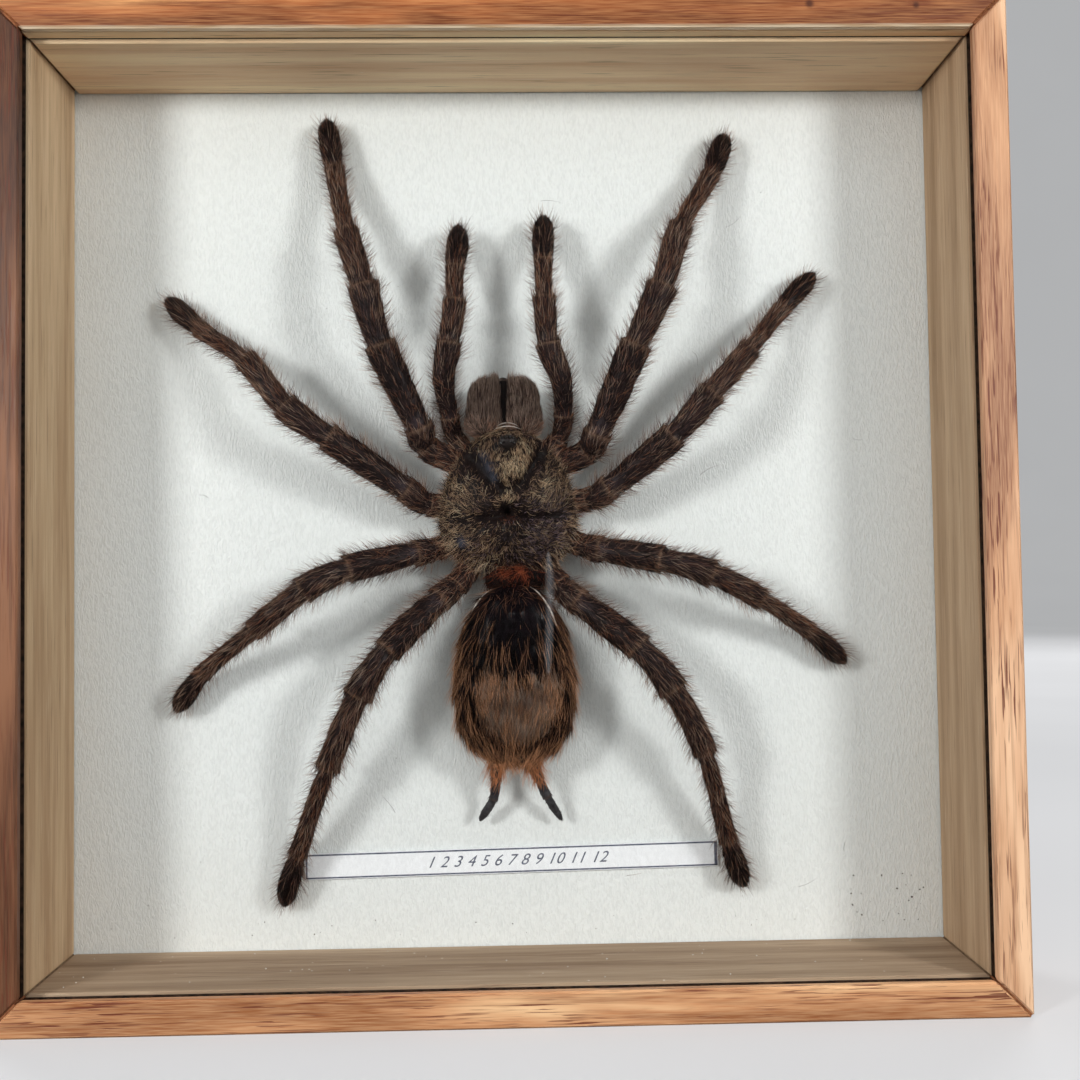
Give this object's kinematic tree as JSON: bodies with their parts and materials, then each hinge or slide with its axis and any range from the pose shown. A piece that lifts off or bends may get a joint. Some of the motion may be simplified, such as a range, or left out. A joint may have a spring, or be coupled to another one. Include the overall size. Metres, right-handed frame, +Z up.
{
  "type": "framed tarantula specimen",
  "caption": "Square wooden box frame with a glazed front, standing on its edge, that shows a dried tarantula fixed on a white board above a paper label.",
  "frame": {"origin": "middle of the frame's base, where it stands on a surface", "axes": "+X across the frame to the right as seen from the glass, +Y from the glass to the back, +Z up"},
  "size_m": [0.161, 0.03, 0.161],
  "materials": {
    "oak": "reddish oak with an oiled satin finish, open pores and dark streaks along each rail",
    "liner_wood": "matt taupe brown wood with a fine straight grain and a little dust",
    "clear_glass": "clear flat picture glass",
    "white_card": "off-white card with a fine vertical emboss and a soft sheen",
    "hardboard": "brown hardboard, matt, with fine fibres",
    "paper": "white paper with a thin grey border line",
    "steel": "zinc-plated sheet steel",
    "leg_skin": "dark brown cuticle under short brown down and long pale hairs",
    "carapace_skin": "brown cuticle under short golden-olive hairs that run out from the middle",
    "abdomen_skin": "near-black cuticle with long reddish-brown hairs and a pale grey-brown patch",
    "jaw_skin": "dark cuticle under lengthwise taupe hairs",
    "spinneret_skin": "dark slate cuticle with short fine hairs"
  },
  "bodies": {
    "root": {"frame_rail_bottom": "oak", "frame_rail_left": "oak", "frame_rail_top": "oak", "frame_rail_right": "oak", "liner_bottom": "liner_wood", "liner_left": "liner_wood", "liner_top": "liner_wood", "liner_right": "liner_wood", "glass": "clear_glass", "white_board": "white_card", "back_panel": "hardboard", "label": "paper", "cephalothorax": "carapace_skin", "abdomen": "abdomen_skin", "chelicera_left": "jaw_skin", "chelicera_right": "jaw_skin", "pedipalp_left": "leg_skin", "pedipalp_right": "leg_skin", "leg_left_1": "leg_skin", "leg_left_2": "leg_skin", "leg_left_3": "leg_skin", "leg_left_4": "leg_skin", "leg_right_1": "leg_skin", "leg_right_2": "leg_skin", "leg_right_3": "leg_skin", "leg_right_4": "leg_skin", "spinneret_left": "spinneret_skin", "spinneret_right": "spinneret_skin", "framer_point_bottom_1": "steel", "framer_point_bottom_2": "steel", "framer_point_left_1": "steel", "framer_point_left_2": "steel", "framer_point_top_1": "steel", "framer_point_top_2": "steel", "framer_point_right_1": "steel", "framer_point_right_2": "steel", "sawtooth_hanger": "steel", "hanger_rivet_left": "steel", "hanger_rivet_right": "steel"}
  },
  "joints": []
}
